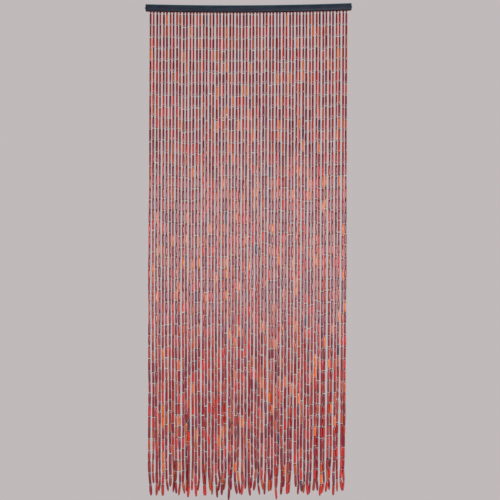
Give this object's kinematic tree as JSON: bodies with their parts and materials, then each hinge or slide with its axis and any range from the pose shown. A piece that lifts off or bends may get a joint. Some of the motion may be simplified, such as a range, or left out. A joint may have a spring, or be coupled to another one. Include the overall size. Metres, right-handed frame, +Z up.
{
  "type": "bead curtain with head rail",
  "caption": "Doorway curtain of short red-brown stained bamboo sticks strung in paired vertical strands that hang from a dark, slightly sagging wooden head rail.",
  "frame": {"origin": "middle of the head rail's flat back face, which lies against the wall or door frame", "axes": "+X to the right as seen from the front, +Y out of the rail's back towards the wall, +Z up along the hanging strands"},
  "size_m": [0.9078, 0.02, 2.1711],
  "materials": {
    "rail_paint": "dark slate satin paint on wood, thin at the edges",
    "pin_metal": "darkened steel",
    "stained_bamboo": "red-brown stain in mixed tones under a glossy lacquer",
    "hook_brass": "dull copper-brown screw eyes",
    "curtain_cord": "matt cream cord"
  },
  "bodies": {
    "root": {"head_rail": "rail_paint", "end_pin_left": "pin_metal", "end_pin_right": "pin_metal", "strands": "stained_bamboo"}
  },
  "joints": []
}
